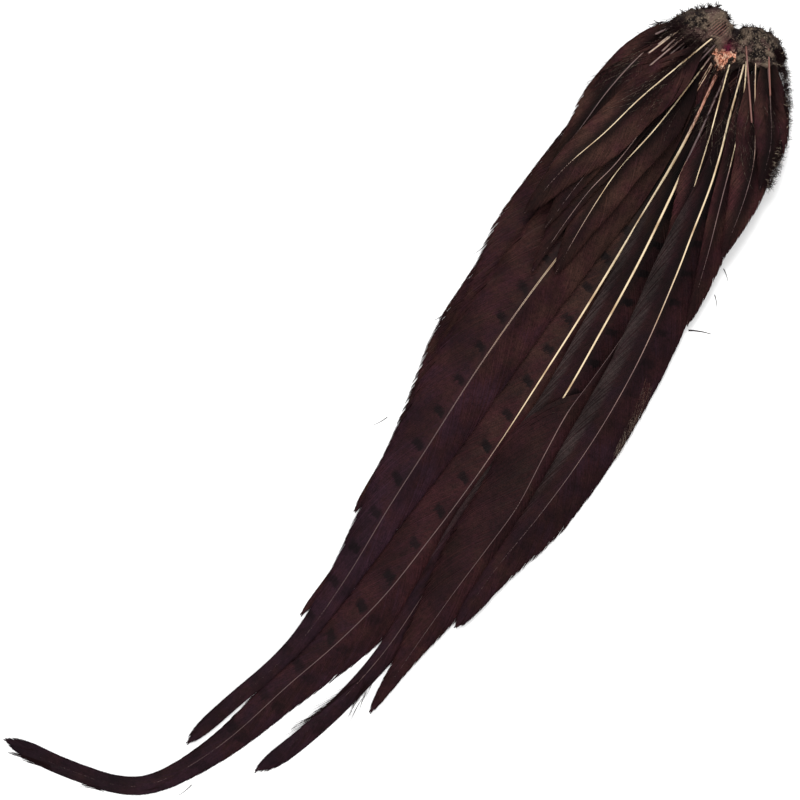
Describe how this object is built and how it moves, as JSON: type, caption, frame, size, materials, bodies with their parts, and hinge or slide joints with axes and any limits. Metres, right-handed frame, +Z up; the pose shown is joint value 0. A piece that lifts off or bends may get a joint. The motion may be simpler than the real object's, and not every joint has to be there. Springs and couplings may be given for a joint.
{
  "type": "pheasant tail",
  "caption": "Dried, dark-dyed pheasant tail lying on its back: long barred feathers with pale quills fanned from a piece of skin, for decoration, costume or fly tying.",
  "frame": {"origin": "on the flat side that the tail root rests on, under the middle of the root where its two lobes meet", "axes": "+X from the root towards the feather tips, +Z up to the viewer (the feathers' underside is up), +Y to the right as seen from above with the tips towards the viewer"},
  "size_m": [0.5225, 0.195, 0.0185],
  "materials": {
    "feather": "soft, dyed near-black claret with darker bars, slightly silky along the barbs",
    "quill": "smooth horn, ivory with dye stains, satin",
    "skin": "dried skin, rough, greyish brown with a pinkish patch"
  },
  "bodies": {
    "root": {"tail_root": "skin", "tail_feather_left_1": "feather", "tail_feather_left_2": "feather", "tail_feather_left_3": "feather", "tail_feather_left_4": "feather", "tail_feather_left_5": "feather", "tail_feather_left_6": "feather", "tail_feather_left_7": "feather", "tail_feather_left_8": "feather", "tail_feather_left_9": "feather", "tail_feather_right_1": "feather", "tail_feather_right_2": "feather", "tail_feather_right_3": "feather", "tail_feather_right_4": "feather", "tail_feather_right_5": "feather", "tail_feather_right_6": "feather", "tail_feather_right_7": "feather", "tail_feather_right_8": "feather", "tail_feather_right_9": "feather", "cut_quill_left_1": "quill", "cut_quill_left_2": "quill", "cut_quill_left_3": "quill", "cut_quill_left_4": "quill", "cut_quill_left_5": "quill", "cut_quill_left_6": "quill", "cut_quill_right_1": "quill", "cut_quill_right_2": "quill", "cut_quill_right_3": "quill"}
  },
  "joints": []
}
